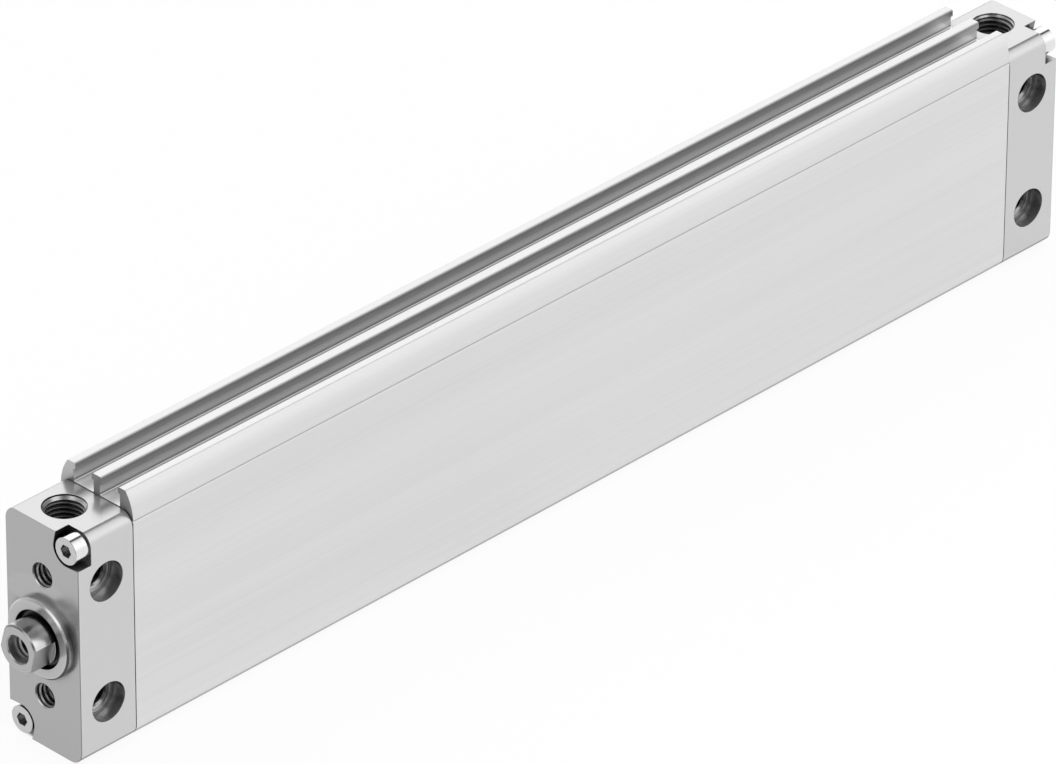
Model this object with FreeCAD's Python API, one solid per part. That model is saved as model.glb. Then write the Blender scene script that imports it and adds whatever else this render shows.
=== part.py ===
import FreeCAD, Part
import math
import os

from FreeCAD import Vector

# Flat double-acting pneumatic cylinder, in millimetres.
# Origin: centre of the front cap's mounting face, on the rod axis.
# +X runs out along the rod, +Z is up towards the sensor rails and ports.
# The rod is modelled fully retracted and extends along +X by STROKE.

# Caps: rounded blocks that close both ends of the barrel
CAP_HEIGHT = 59.5
CAP_WIDTH = 23.4
CAP_LENGTH = 17.0
CORNER_RADIUS = 3.7
CORNER_TRIM = 0.19
EDGE_BREAK = 0.08
JOINT_BREAK = 0.25

# Chamber: flat-sided bore with round ends, which keeps the piston from turning
BORE_WIDTH = 18.0
BORE_HEIGHT = 48.0
BORE_LEAD_IN = 0.4
STROKE = 250.0
END_GAP = 0.35

# Sensor rails: two T-slots along the top of the barrel
RAIL_RISE = 5.1
SLOT_FLOOR_RISE = 0.2
SLOT_OFFSET = 4.225
SLOT_MOUTH = 5.35
SLOT_WIDTH = 6.45
SLOT_LIP = 1.7
SLOT_CORNER = 0.2
RAIL_EDGE_WIDTH = 0.4
RAIL_EDGE_DROP = 0.3
SHOULDER_RADIUS = 12.0
SHOULDER_DROP = 2.1
SHOULDER_EDGE = 0.12
SHOULDER_EDGE_SLOPE = 30.0
SHOULDER_GROOVE_WIDTH = 0.7
SHOULDER_GROOVE_DEPTH = 0.35

# Side mounting holes: counterbored from the +Y side, right through each cap
SIDE_HOLE_RADIUS = 2.55
SIDE_HOLE_CHAMFER = 0.45
SIDE_HOLE_SPACING = 32.0
SIDE_BORE_RADIUS = 5.0
SIDE_BORE_DEPTH = 4.1

# Threaded holes in the end faces, in line with the side holes
FACE_THREAD_RADIUS = 3.0
FACE_THREAD_CHAMFER = 0.25

# Air ports in the cap tops, each with a passage into the chamber
PORT_THREAD_RADIUS = 4.864
PORT_RIM_DEPTH = 0.45
PORT_CHAMFER = 0.35
PORT_SHIFT = 1.5
PASSAGE_RADIUS = 1.2
PASSAGE_INSET = 3.5
PORT_BELOW_PASSAGE = 0.75

# Cap screws: two socket-head screws per cap, in opposite corners
SCREW_RADIUS = 2.0
SCREW_LENGTH = 25.0
SCREW_HEAD_RADIUS = 3.4
SCREW_HEAD_HEIGHT = 4.0
SCREW_HEAD_ROUND = 0.12
SCREW_KEY = 3.0
SCREW_KEY_DEPTH = 2.2
SCREW_FROM_SIDE = 3.85
SCREW_FROM_TOP = 3.85
SCREW_HOLE_CLEARANCE = 0.25
SCREW_TAP_MARGIN = 2.0
CHANNEL_RADIUS = 1.65
NOTCH_CLEARANCE = 0.65
NOTCH_TOP_DRAFT = 13.0
NOTCH_SIDE_DRAFT = 4.0

# Cap spigots, their seals and the end buffers
SPIGOT_LENGTH = 6.0
CAP_SEAL_WIDTH = 2.4
CAP_SEAL_HEIGHT = 1.4
CAP_SEAL_INSET = 1.5
BUFFER_WIDTH = 16.0
BUFFER_HEIGHT = 36.0
BUFFER_PROUD = 2.0
BUFFER_SEAT = 1.0
BUFFER_ROD_CLEARANCE = 0.6

# Piston rod with spanner flats and a female end thread
ROD_RADIUS = 6.0
ROD_REACH = 8.0
ROD_END_CHAMFER = 0.4
FLAT_SPAN = 10.0
FLAT_LENGTH = 6.0
FLAT_ANGLE = -14.7
ROD_THREAD_RADIUS = 3.0
ROD_THREAD_DEPTH = 16.0
ROD_RELIEF_RADIUS = 3.4
ROD_RELIEF_DEPTH = 2.4
ROD_RELIEF_CHAMFER = 0.3

# Front cap collar and the ring of pieces around the rod
COLLAR_RADIUS = 10.0
COLLAR_REACH = 2.0
COLLAR_CHAMFER = 0.45
WIPER_MOUTH_RADIUS = 7.3
WIPER_MOUTH_DEPTH = 2.5
WIPER_RADIUS = 8.4
WIPER_WIDTH = 3.0
WIPER_LIP = 1.2
ROD_LAND = 1.2
ROD_LAND_CLEARANCE = 0.4
ROD_SEAL_RADIUS = 8.5
ROD_SEAL_WIDTH = 4.0
ROD_SEAL_WALL = 0.8
BUSH_WALL = 1.0
BUSH_END_GAP = 0.1

# Piston: two halves clamped on the rod's stepped end by a washer and nut
PISTON_LENGTH = 22.0
PISTON_CLEARANCE = 0.4
PISTON_EDGE = 0.6
PISTON_SEAL_WIDTH = 3.0
PISTON_SEAL_HEIGHT = 1.4
PISTON_SEAL_INSET = 2.6
BAND_WIDTH = 5.0
BAND_HEIGHT = 1.2
MAGNET_RADIUS = 4.0
MAGNET_LENGTH = 6.0
MAGNET_SPACING = 28.0
JOURNAL_RADIUS = 4.0
JOURNAL_SHORT = 0.3
ROD_RING_HEIGHT = 1.5
ROD_RING_WIDTH = 1.8
STUD_RADIUS = 3.0
STUD_CHAMFER = 0.4
WASHER_RADIUS = 5.8
WASHER_THICKNESS = 1.6
NUT_KEY = 10.0
NUT_HEIGHT = 3.2
NUT_COVER = 0.4
NUT_SIDE_CLEARANCE = 0.5

# Fits: gaps left on each side
STATIC_FIT = 0.02
SPIGOT_FIT = 0.05
SEAL_FIT = 0.05
RUNNING_FIT = 0.03

# Places that follow from the sizes above
HALF_HEIGHT = CAP_HEIGHT / 2
HALF_WIDTH = CAP_WIDTH / 2
BARREL_LENGTH = STROKE + PISTON_LENGTH + 2 * END_GAP + 2 * (SPIGOT_LENGTH + BUFFER_PROUD)
FRONT_JOINT = -CAP_LENGTH
REAR_JOINT = FRONT_JOINT - BARREL_LENGTH
REAR_FACE = REAR_JOINT - CAP_LENGTH
MIDDLE_X = REAR_FACE / 2
SPIGOT_END = FRONT_JOINT - SPIGOT_LENGTH
SPIGOT_WIDTH = BORE_WIDTH - 2 * SPIGOT_FIT
SPIGOT_HEIGHT = BORE_HEIGHT - 2 * SPIGOT_FIT
HOLE_X = -CAP_LENGTH / 2
HOLE_Z = SIDE_HOLE_SPACING / 2
RAIL_TOP = HALF_HEIGHT + RAIL_RISE
SLOT_FLOOR = HALF_HEIGHT + SLOT_FLOOR_RISE
SHOULDER_Z = HALF_HEIGHT - SHOULDER_DROP
PORT_Y = -PORT_SHIFT
PASSAGE_Z = BORE_HEIGHT / 2 - PASSAGE_INSET
PORT_FLOOR = PASSAGE_Z - PORT_BELOW_PASSAGE
SCREW_Y = HALF_WIDTH - SCREW_FROM_SIDE
SCREW_Z = HALF_HEIGHT - SCREW_FROM_TOP
SCREW_TIP = -SCREW_HEAD_HEIGHT - SCREW_LENGTH
PISTON_REAR = REAR_JOINT + SPIGOT_LENGTH + BUFFER_PROUD + END_GAP
PISTON_FRONT = PISTON_REAR + PISTON_LENGTH
PISTON_SPLIT = PISTON_FRONT - PISTON_LENGTH / 2
PISTON_WIDTH = BORE_WIDTH - 2 * PISTON_CLEARANCE
PISTON_HEIGHT = BORE_HEIGHT - 2 * PISTON_CLEARANCE
NUT_RADIUS = NUT_KEY / math.sqrt(3)
NUT_RECESS_RADIUS = max(NUT_RADIUS, WASHER_RADIUS) + NUT_SIDE_CLEARANCE
NUT_RECESS_FLOOR = PISTON_REAR + NUT_COVER + NUT_HEIGHT + WASHER_THICKNESS
WIPER_FRONT = COLLAR_REACH - WIPER_MOUTH_DEPTH
WIPER_REAR = WIPER_FRONT - WIPER_WIDTH
ROD_SEAL_FRONT = WIPER_REAR - ROD_LAND
ROD_SEAL_REAR = ROD_SEAL_FRONT - ROD_SEAL_WIDTH
BUSH_FRONT = ROD_SEAL_REAR - ROD_LAND
BUSH_REAR = SPIGOT_END + BUFFER_SEAT + BUSH_END_GAP
BUSH_RADIUS = ROD_RADIUS + BUSH_WALL


def along_x(radius, x_from, x_to, y=0.0, z=0.0):
    """Round bar along X between two places."""
    start = Vector(min(x_from, x_to), y, z)
    return Part.makeCylinder(radius, abs(x_to - x_from), start, Vector(1, 0, 0))


def block(x_from, x_to, y_from, y_to, z_from, z_to):
    """Box between three pairs of places, each given low then high."""
    return Part.makeBox(x_to - x_from, y_to - y_from, z_to - z_from, Vector(x_from, y_from, z_from))


def prism(points, x_from, x_to):
    """Closed outline of (y, z) corners, made solid between two places along X."""
    corners = [Vector(x_from, y, z) for y, z in points]
    face = Part.Face(Part.makePolygon(corners + corners[:1]))
    return face.extrude(Vector(x_to - x_from, 0, 0))


def turned(profile):
    """Solid turned about the X axis, from (x, radius) corners."""
    corners = [Vector(x, 0, radius) for x, radius in profile]
    face = Part.Face(Part.makePolygon(corners + corners[:1]))
    return face.revolve(Vector(0, 0, 0), Vector(1, 0, 0), 360)


def obround(width, height, x_from, x_to):
    """Bar with flat sides and round top and bottom, between two places along X."""
    half = width / 2
    reach = height / 2 - half
    right_low = Vector(x_from, half, -reach)
    right_high = Vector(x_from, half, reach)
    left_high = Vector(x_from, -half, reach)
    left_low = Vector(x_from, -half, -reach)
    sides = [
        Part.LineSegment(right_low, right_high),
        Part.Arc(right_high, Vector(x_from, 0, height / 2), left_high),
        Part.LineSegment(left_high, left_low),
        Part.Arc(left_low, Vector(x_from, 0, -height / 2), right_low),
    ]
    face = Part.Face(Part.Wire([side.toShape() for side in sides]))
    return face.extrude(Vector(x_to - x_from, 0, 0))


def obround_ring(width, height, wall, x_from, x_to):
    """Flat-sided ring: an obround with the same shape, smaller by the wall, taken out."""
    inner = obround(width - 2 * wall, height - 2 * wall, x_from, x_to)
    return obround(width, height, x_from, x_to).cut(inner)


def hexagon(key, x_from, x_to, y=0.0, z=0.0):
    """Six-sided bar along X with two corners level, given its width across flats."""
    radius = key / math.sqrt(3)
    angles = [math.radians(60 * corner) for corner in range(6)]
    outline = [(y + radius * math.cos(a), z + radius * math.sin(a)) for a in angles]
    return prism(outline, x_from, x_to)


def edges_at_x(shape, x):
    """Edges that lie wholly in the plane at one place along X."""
    near = 1e-6
    return [e for e in shape.Edges if abs(e.BoundBox.XMin - x) < near and abs(e.BoundBox.XMax - x) < near]


def to_rear(shape):
    """The same piece at the rear end, mirrored through the middle of the cylinder."""
    return shape.mirror(Vector(MIDDLE_X, 0, 0), Vector(1, 0, 0))


def opposite_corner(shape):
    """The same piece turned half way round the rod axis."""
    turned_copy = shape.copy()
    turned_copy.rotate(Vector(0, 0, 0), Vector(1, 0, 0), 180)
    return turned_copy


def rounded_block(x_from, x_to, z_top, rounded_top):
    """Cap-sized block whose long edges are rounded, at the bottom or all round."""
    body = block(x_from, x_to, -HALF_WIDTH, HALF_WIDTH, -HALF_HEIGHT, z_top)
    long_edges = [e for e in body.Edges if abs(e.BoundBox.XLength - (x_to - x_from)) < 1e-6]
    chosen = [e for e in long_edges if rounded_top or e.BoundBox.ZMax < 0]
    return body.makeFillet(CORNER_RADIUS, chosen)


def slot_cutter(side):
    """T-slot outline along the whole barrel, with broken edges at its mouth and floor."""
    centre = side * SLOT_OFFSET
    mouth = SLOT_MOUTH / 2
    inner = SLOT_WIDTH / 2
    lip = RAIL_TOP - SLOT_LIP
    half = [
        (mouth + 2 * RAIL_EDGE_WIDTH, RAIL_TOP + RAIL_EDGE_DROP),
        (mouth, RAIL_TOP - RAIL_EDGE_DROP),
        (mouth, lip),
        (inner, lip),
        (inner, SLOT_FLOOR + SLOT_CORNER),
        (inner - SLOT_CORNER, SLOT_FLOOR),
    ]
    left = [(centre - offset, z) for offset, z in half]
    right = [(centre + offset, z) for offset, z in reversed(half)]
    return prism(left + right, REAR_JOINT, FRONT_JOINT)


def shoulder_waste(side):
    """What lies outside the rounded shoulder between a barrel side and its rail, whose edge is broken."""
    over = RAIL_RISE
    y_inner = HALF_WIDTH - SHOULDER_RADIUS
    corner = block(REAR_JOINT, FRONT_JOINT, y_inner, HALF_WIDTH + over, SHOULDER_Z, RAIL_TOP + over)
    waste = corner.cut(along_x(SHOULDER_RADIUS, REAR_JOINT, FRONT_JOINT, y_inner, SHOULDER_Z))
    edge_y = y_inner + math.sqrt(SHOULDER_RADIUS ** 2 - (RAIL_TOP - SHOULDER_Z) ** 2)
    break_y = edge_y - SHOULDER_EDGE
    reach = 4 * SHOULDER_EDGE
    fall = reach * math.tan(math.radians(SHOULDER_EDGE_SLOPE))
    edge = [(break_y, RAIL_TOP), (break_y + reach, RAIL_TOP - fall), (break_y + reach, RAIL_TOP)]
    waste = waste.fuse(prism(edge, REAR_JOINT, FRONT_JOINT))
    if side < 0:
        return waste.mirror(Vector(0, 0, 0), Vector(0, 1, 0))
    return waste


def shoulder_groove(side):
    """Fine line along the barrel where the flat side meets the shoulder."""
    outside = side * (HALF_WIDTH + SHOULDER_GROOVE_DEPTH)
    bottom = side * (HALF_WIDTH - SHOULDER_GROOVE_DEPTH)
    half = SHOULDER_GROOVE_WIDTH
    outline = [(outside, SHOULDER_Z - half), (bottom, SHOULDER_Z), (outside, SHOULDER_Z + half)]
    return prism(outline, REAR_JOINT, FRONT_JOINT)


def screw_channels():
    """Channels along the barrel for the cap screws, opened out where they are tapped."""
    tapped = SCREW_RADIUS + STATIC_FIT
    tap_end = SCREW_TIP - SCREW_TAP_MARGIN
    upper = along_x(CHANNEL_RADIUS, REAR_JOINT, FRONT_JOINT, SCREW_Y, SCREW_Z)
    front_tap = along_x(tapped, tap_end, FRONT_JOINT, SCREW_Y, SCREW_Z)
    upper = upper.fuse([front_tap, to_rear(front_tap)])
    return [upper, opposite_corner(upper)]


def chamber():
    """Bore of the barrel, flared a little at both ends so that the cap seals slide in."""
    flare_width = BORE_WIDTH + 2 * BORE_LEAD_IN
    flare_height = BORE_HEIGHT + 2 * BORE_LEAD_IN
    flare_end = FRONT_JOINT - BORE_LEAD_IN
    flare = obround(flare_width, flare_height, flare_end, FRONT_JOINT + BORE_LEAD_IN)
    flare = flare.makeChamfer(BORE_LEAD_IN, edges_at_x(flare, flare_end))
    return obround(BORE_WIDTH, BORE_HEIGHT, REAR_JOINT, FRONT_JOINT).fuse([flare, to_rear(flare)])


def barrel():
    """Extruded barrel: bore, rounded shoulders, sensor slots and screw channels."""
    body = rounded_block(REAR_JOINT, FRONT_JOINT, RAIL_TOP, rounded_top=False)
    cutters = [chamber()] + screw_channels()
    for side in (1, -1):
        cutters += [shoulder_waste(side), shoulder_groove(side), slot_cutter(side)]
    return body.cut(cutters)


def notch():
    """Corner cut-out that a cap screw's head sits in, with room around the head."""
    radius = SCREW_HEAD_RADIUS + NOTCH_CLEARANCE
    top_draft = math.radians(NOTCH_TOP_DRAFT)
    side_draft = math.radians(NOTCH_SIDE_DRAFT)
    over = radius
    top_touch = (SCREW_Y - radius * math.cos(top_draft), SCREW_Z + radius * math.sin(top_draft))
    side_touch = (SCREW_Y + radius * math.sin(side_draft), SCREW_Z - radius * math.cos(side_draft))
    top_run = HALF_HEIGHT + over - top_touch[1]
    side_run = HALF_WIDTH + over - side_touch[0]
    top_exit = (top_touch[0] + top_run * math.tan(top_draft), HALF_HEIGHT + over)
    side_exit = (HALF_WIDTH + over, side_touch[1] + side_run * math.tan(side_draft))
    corner = (HALF_WIDTH + over, HALF_HEIGHT + over)
    outline = [(SCREW_Y, SCREW_Z), top_touch, top_exit, corner, side_exit, side_touch]
    wedge = prism(outline, -SCREW_HEAD_HEIGHT, over)
    return wedge.fuse(along_x(radius, -SCREW_HEAD_HEIGHT, over, SCREW_Y, SCREW_Z))


def side_hole(z):
    """Counterbored mounting hole through the cap, along Y, chamfered at the counterbore's floor."""
    inward = Vector(0, -1, 0)
    start = Vector(HOLE_X, HALF_WIDTH, z)
    floor = Vector(HOLE_X, HALF_WIDTH - SIDE_BORE_DEPTH, z)
    through = Part.makeCylinder(SIDE_HOLE_RADIUS, CAP_WIDTH, start, inward)
    counterbore = Part.makeCylinder(SIDE_BORE_RADIUS, SIDE_BORE_DEPTH, start, inward)
    wide = SIDE_HOLE_RADIUS + SIDE_HOLE_CHAMFER
    chamfer = Part.makeCone(wide, SIDE_HOLE_RADIUS, SIDE_HOLE_CHAMFER, floor, inward)
    return through.fuse([counterbore, chamfer])


def face_thread(z):
    """Threaded hole in the end face, down to the side hole, at its nominal diameter."""
    mouth = FACE_THREAD_RADIUS + FACE_THREAD_CHAMFER
    hole = turned([
        (HOLE_X, 0),
        (HOLE_X, FACE_THREAD_RADIUS),
        (-FACE_THREAD_CHAMFER, FACE_THREAD_RADIUS),
        (0, mouth),
        (0, 0),
    ])
    hole.translate(Vector(0, 0, z))
    return hole


def air_port():
    """Threaded port from the top, at its nominal diameter, with a stepped mouth, and its passage."""
    mouth = PORT_THREAD_RADIUS + PORT_CHAMFER
    rim_z = HALF_HEIGHT - PORT_RIM_DEPTH
    foot = Vector(HOLE_X, PORT_Y, PORT_FLOOR)
    rim_foot = Vector(HOLE_X, PORT_Y, rim_z)
    chamfer_foot = Vector(HOLE_X, PORT_Y, rim_z - PORT_CHAMFER)
    up = Vector(0, 0, 1)
    port = Part.makeCylinder(PORT_THREAD_RADIUS, HALF_HEIGHT - PORT_FLOOR, foot, up)
    rim = Part.makeCylinder(mouth, PORT_RIM_DEPTH, rim_foot, up)
    chamfer = Part.makeCone(PORT_THREAD_RADIUS, mouth, PORT_CHAMFER, chamfer_foot, up)
    passage = along_x(PASSAGE_RADIUS, SPIGOT_END, HOLE_X, PORT_Y, PASSAGE_Z)
    return port.fuse([rim, chamfer, passage])


def cap_blank():
    """What both caps share, at the front end: block, spigot, holes, port and notches."""
    body = rounded_block(FRONT_JOINT, 0, HALF_HEIGHT + CORNER_TRIM, rounded_top=True)
    body = body.makeChamfer(EDGE_BREAK, edges_at_x(body, 0))
    body = body.makeChamfer(JOINT_BREAK, edges_at_x(body, FRONT_JOINT))
    body = body.common(block(FRONT_JOINT, 0, -HALF_WIDTH, HALF_WIDTH, -HALF_HEIGHT, HALF_HEIGHT))
    spigot = obround(SPIGOT_WIDTH, SPIGOT_HEIGHT, SPIGOT_END, FRONT_JOINT)
    spigot = spigot.makeChamfer(BORE_LEAD_IN, edges_at_x(spigot, SPIGOT_END))
    seal_front = FRONT_JOINT - CAP_SEAL_INSET
    seal_rear = seal_front - CAP_SEAL_WIDTH
    groove = obround_ring(BORE_WIDTH, BORE_HEIGHT, CAP_SEAL_HEIGHT, seal_rear, seal_front)
    seat_width = BUFFER_WIDTH + 2 * STATIC_FIT
    seat_height = BUFFER_HEIGHT + 2 * STATIC_FIT
    seat = obround(seat_width, seat_height, SPIGOT_END, SPIGOT_END + BUFFER_SEAT)
    screw_hole = along_x(SCREW_RADIUS + SCREW_HOLE_CLEARANCE, FRONT_JOINT, 0, SCREW_Y, SCREW_Z)
    cutters = [groove, seat, air_port(), notch(), opposite_corner(notch())]
    cutters += [screw_hole, opposite_corner(screw_hole)]
    for z in (HOLE_Z, -HOLE_Z):
        cutters += [side_hole(z), face_thread(z)]
    return body.fuse(spigot).cut(cutters)


def rod_passage():
    """Bore of the front cap: wiper mouth, wiper groove, seal groove and bush seat."""
    land = ROD_RADIUS + ROD_LAND_CLEARANCE
    bush_seat = BUSH_RADIUS + STATIC_FIT
    return turned([
        (COLLAR_REACH, 0),
        (COLLAR_REACH, WIPER_MOUTH_RADIUS),
        (WIPER_FRONT, WIPER_MOUTH_RADIUS),
        (WIPER_FRONT, WIPER_RADIUS + STATIC_FIT),
        (WIPER_REAR, WIPER_RADIUS + STATIC_FIT),
        (WIPER_REAR, land),
        (ROD_SEAL_FRONT, land),
        (ROD_SEAL_FRONT, ROD_SEAL_RADIUS + STATIC_FIT),
        (ROD_SEAL_REAR, ROD_SEAL_RADIUS + STATIC_FIT),
        (ROD_SEAL_REAR, land),
        (BUSH_FRONT, land),
        (BUSH_FRONT, bush_seat),
        (SPIGOT_END, bush_seat),
        (SPIGOT_END, 0),
    ])


def front_cap():
    """Bearing cap: the shared cap with a centring collar and the rod's bore."""
    collar = turned([
        (0, 0),
        (0, COLLAR_RADIUS),
        (COLLAR_REACH - COLLAR_CHAMFER, COLLAR_RADIUS),
        (COLLAR_REACH, COLLAR_RADIUS - COLLAR_CHAMFER),
        (COLLAR_REACH, 0),
    ])
    return cap_blank().fuse(collar).cut(rod_passage())


def cap_screw():
    """Socket-head screw in the upper corner of the front cap, its head flush with the face."""
    head = along_x(SCREW_HEAD_RADIUS, -SCREW_HEAD_HEIGHT, 0, SCREW_Y, SCREW_Z)
    head = head.makeFillet(SCREW_HEAD_ROUND, edges_at_x(head, 0))
    socket = hexagon(SCREW_KEY, -SCREW_KEY_DEPTH, 0, SCREW_Y, SCREW_Z)
    shank = along_x(SCREW_RADIUS, SCREW_TIP, -SCREW_HEAD_HEIGHT, SCREW_Y, SCREW_Z)
    return head.cut(socket).fuse(shank)


def front_screws():
    """Both screws of the front cap, as separate solids."""
    upper = cap_screw()
    return Part.makeCompound([upper, opposite_corner(upper)])


def cap_seal():
    """Static seal in the spigot's groove, against the bore."""
    width = BORE_WIDTH - 2 * STATIC_FIT
    height = BORE_HEIGHT - 2 * STATIC_FIT
    wall = CAP_SEAL_HEIGHT - 2 * STATIC_FIT
    front = FRONT_JOINT - CAP_SEAL_INSET - STATIC_FIT
    return obround_ring(width, height, wall, front - CAP_SEAL_WIDTH + 2 * STATIC_FIT, front)


def buffer_pad():
    """End-of-stroke pad, seated in the spigot's face and standing proud of it."""
    return obround(BUFFER_WIDTH, BUFFER_HEIGHT, SPIGOT_END - BUFFER_PROUD, SPIGOT_END + BUFFER_SEAT)


def front_buffer():
    """Front pad, with a hole that the rod passes through."""
    hole = along_x(ROD_RADIUS + BUFFER_ROD_CLEARANCE, SPIGOT_END - BUFFER_PROUD, FRONT_JOINT)
    return buffer_pad().cut(hole)


def rod_bush():
    """Plain bearing that guides the rod, from its shoulder in the cap back to the buffer."""
    bore = along_x(ROD_RADIUS + RUNNING_FIT, BUSH_REAR, BUSH_FRONT)
    return along_x(BUSH_RADIUS, BUSH_REAR, BUSH_FRONT).cut(bore)


def rod_seal():
    """Lip seal around the rod, open towards the pressure side."""
    front = ROD_SEAL_FRONT - STATIC_FIT
    rear = ROD_SEAL_REAR + STATIC_FIT
    lip = ROD_RADIUS + SEAL_FIT
    middle = front - ROD_SEAL_WIDTH / 2
    return turned([
        (front, lip + ROD_SEAL_WALL / 2),
        (front, ROD_SEAL_RADIUS),
        (rear, ROD_SEAL_RADIUS),
        (rear, ROD_SEAL_RADIUS - ROD_SEAL_WALL),
        (middle, (lip + ROD_SEAL_RADIUS) / 2),
        (rear, lip + ROD_SEAL_WALL),
        (rear, lip),
    ])


def rod_wiper():
    """Wiper in the collar's mouth: a body in its groove and a lip that reaches out to the rod."""
    rear = WIPER_REAR + STATIC_FIT
    front = WIPER_FRONT - STATIC_FIT
    lip = ROD_RADIUS + SEAL_FIT
    neck = WIPER_MOUTH_RADIUS - STATIC_FIT
    return turned([
        (rear, ROD_RADIUS + ROD_LAND_CLEARANCE),
        (rear, WIPER_RADIUS),
        (front, WIPER_RADIUS),
        (front, neck),
        (front + WIPER_LIP / 2, neck),
        (front + WIPER_LIP, (lip + neck) / 2),
        (front + WIPER_LIP, lip),
    ])


def piston_rod():
    """Rod with spanner flats, a threaded end bore and a stepped end for the piston."""
    journal_end = NUT_RECESS_FLOOR + JOURNAL_SHORT
    stud_end = PISTON_REAR + NUT_COVER
    rod = turned([
        (ROD_REACH, 0),
        (ROD_REACH, ROD_RADIUS - ROD_END_CHAMFER),
        (ROD_REACH - ROD_END_CHAMFER, ROD_RADIUS),
        (PISTON_FRONT, ROD_RADIUS),
        (PISTON_FRONT, JOURNAL_RADIUS),
        (journal_end, JOURNAL_RADIUS),
        (journal_end, STUD_RADIUS),
        (stud_end + STUD_CHAMFER, STUD_RADIUS),
        (stud_end, STUD_RADIUS - STUD_CHAMFER),
        (stud_end, 0),
    ])
    relief_floor = ROD_REACH - ROD_RELIEF_DEPTH
    relief = turned([
        (relief_floor, 0),
        (relief_floor, ROD_RELIEF_RADIUS),
        (ROD_REACH - ROD_RELIEF_CHAMFER, ROD_RELIEF_RADIUS),
        (ROD_REACH, ROD_RELIEF_RADIUS + ROD_RELIEF_CHAMFER),
        (ROD_REACH, 0),
    ])
    thread = along_x(ROD_THREAD_RADIUS, ROD_REACH - ROD_THREAD_DEPTH, ROD_REACH)
    flat_start = ROD_REACH - FLAT_LENGTH
    waste = block(flat_start, ROD_REACH, FLAT_SPAN / 2, ROD_RADIUS, -ROD_RADIUS, ROD_RADIUS)
    waste.rotate(Vector(0, 0, 0), Vector(1, 0, 0), FLAT_ANGLE)
    return rod.cut([relief, thread, waste, opposite_corner(waste)])


def piston_half(x_from, x_to):
    """One half of the piston: an obround with its outer end edge broken and a hole for the rod."""
    body = obround(PISTON_WIDTH, PISTON_HEIGHT, x_from, x_to)
    hole = along_x(JOURNAL_RADIUS + STATIC_FIT, x_from, x_to)
    outer_end = x_from if x_to == PISTON_SPLIT else x_to
    return body.makeChamfer(PISTON_EDGE, edges_at_x(body, outer_end)).cut(hole)


def magnet_at(z, gap):
    """Round magnet across the split of the piston, or its pocket when a gap is given."""
    reach = MAGNET_LENGTH / 2 + gap
    return along_x(MAGNET_RADIUS + gap, PISTON_SPLIT - reach, PISTON_SPLIT + reach, 0, z)


def magnets(gap):
    """Both magnets, or both pockets when a gap is given."""
    return [magnet_at(MAGNET_SPACING / 2, gap), magnet_at(-MAGNET_SPACING / 2, gap)]


def piston_groove(depth, x_from, x_to):
    """Groove round the piston, down from its running surface."""
    wall = depth + PISTON_CLEARANCE
    return obround_ring(BORE_WIDTH, BORE_HEIGHT, wall, x_from, x_to)


def band_groove():
    """Groove for the guide band, half in each piston half."""
    return piston_groove(BAND_HEIGHT, PISTON_SPLIT - BAND_WIDTH / 2, PISTON_SPLIT + BAND_WIDTH / 2)


def piston_front_half():
    """Front half, with a groove for its seal and a seat for the ring that seals the rod."""
    seal_front = PISTON_FRONT - PISTON_SEAL_INSET
    groove = piston_groove(PISTON_SEAL_HEIGHT, seal_front - PISTON_SEAL_WIDTH, seal_front)
    ring_radius = JOURNAL_RADIUS + ROD_RING_HEIGHT + STATIC_FIT
    ring_seat = along_x(ring_radius, PISTON_FRONT - ROD_RING_WIDTH, PISTON_FRONT)
    cutters = [groove, band_groove(), ring_seat] + magnets(STATIC_FIT)
    return piston_half(PISTON_SPLIT, PISTON_FRONT).cut(cutters)


def piston_rear_half():
    """Rear half, with a groove for its seal and a recess for the washer and nut."""
    seal_rear = PISTON_REAR + PISTON_SEAL_INSET
    groove = piston_groove(PISTON_SEAL_HEIGHT, seal_rear, seal_rear + PISTON_SEAL_WIDTH)
    recess = along_x(NUT_RECESS_RADIUS, PISTON_REAR, NUT_RECESS_FLOOR)
    cutters = [groove, band_groove(), recess] + magnets(STATIC_FIT)
    return piston_half(PISTON_REAR, PISTON_SPLIT).cut(cutters)


def piston_ring(depth, outer_gap, x_from, x_to):
    """Ring that fills a piston groove out to the bore, less a gap."""
    width = BORE_WIDTH - 2 * outer_gap
    height = BORE_HEIGHT - 2 * outer_gap
    wall = depth + PISTON_CLEARANCE - outer_gap - STATIC_FIT
    return obround_ring(width, height, wall, x_from + STATIC_FIT, x_to - STATIC_FIT)


def piston_front_seal():
    """Seal ring of the front half, its lip towards the front chamber."""
    front = PISTON_FRONT - PISTON_SEAL_INSET
    return piston_ring(PISTON_SEAL_HEIGHT, SEAL_FIT, front - PISTON_SEAL_WIDTH, front)


def piston_rear_seal():
    """Seal ring of the rear half, its lip towards the rear chamber."""
    rear = PISTON_REAR + PISTON_SEAL_INSET
    return piston_ring(PISTON_SEAL_HEIGHT, SEAL_FIT, rear, rear + PISTON_SEAL_WIDTH)


def piston_guide_band():
    """Low-friction band that guides the piston in the bore."""
    half = BAND_WIDTH / 2
    return piston_ring(BAND_HEIGHT, RUNNING_FIT, PISTON_SPLIT - half, PISTON_SPLIT + half)


def rod_ring():
    """Round-bodied ring that seals the rod against the piston."""
    section = min(ROD_RING_HEIGHT, ROD_RING_WIDTH) / 2 - STATIC_FIT
    middle = JOURNAL_RADIUS + ROD_RING_HEIGHT / 2 + STATIC_FIT
    place = Vector(PISTON_FRONT - ROD_RING_WIDTH / 2, 0, 0)
    return Part.makeTorus(middle, section, place, Vector(1, 0, 0))


def piston_washer():
    """Plain washer under the nut."""
    rear = NUT_RECESS_FLOOR - WASHER_THICKNESS
    hole = along_x(STUD_RADIUS + STATIC_FIT, rear, NUT_RECESS_FLOOR)
    return along_x(WASHER_RADIUS, rear, NUT_RECESS_FLOOR).cut(hole)


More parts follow.
